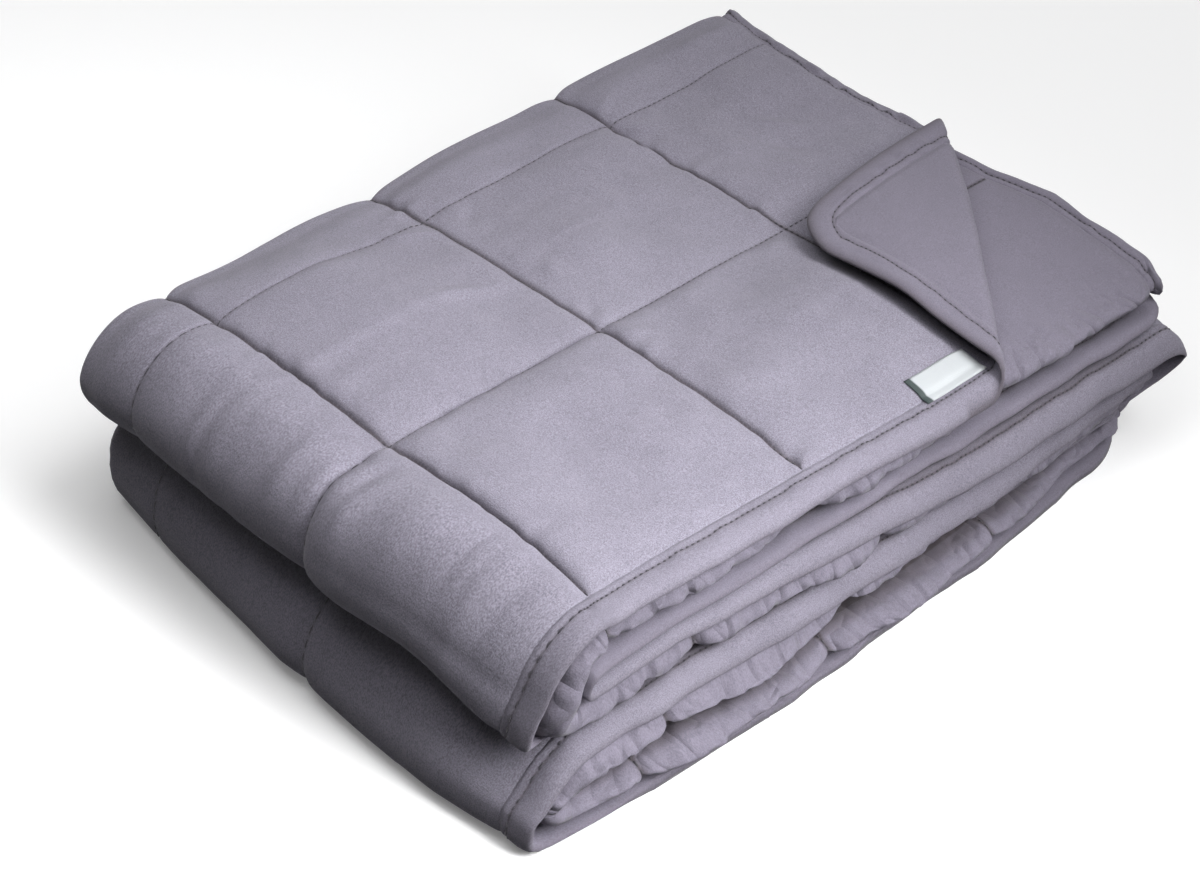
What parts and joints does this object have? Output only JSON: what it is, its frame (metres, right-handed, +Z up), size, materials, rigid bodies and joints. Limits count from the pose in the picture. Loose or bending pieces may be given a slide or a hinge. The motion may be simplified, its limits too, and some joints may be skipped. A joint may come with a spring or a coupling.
{
  "type": "folded weighted blanket",
  "caption": "Filled, square-quilted weighted blanket with a bound edge, folded into a flat stack with one corner turned back.",
  "frame": {"origin": "on the surface it lies on, under the middle of the folded blanket's bounding box", "axes": "+Z up; +X along the stack's long side, towards the open bound ends; +Y across it, away from the side where the bound edges and folds of the layers show"},
  "size_m": [0.4354, 0.3214, 0.1226],
  "materials": {
    "quilt_cloth": "brushed grey cotton, quilted",
    "binding_cloth": "the same brushed grey cotton, folded and topstitched",
    "label_tape": "plain white woven tape, bare"
  },
  "bodies": {
    "root": {"quilt": "quilt_cloth", "edge_binding": "binding_cloth", "label": "label_tape"}
  },
  "joints": []
}
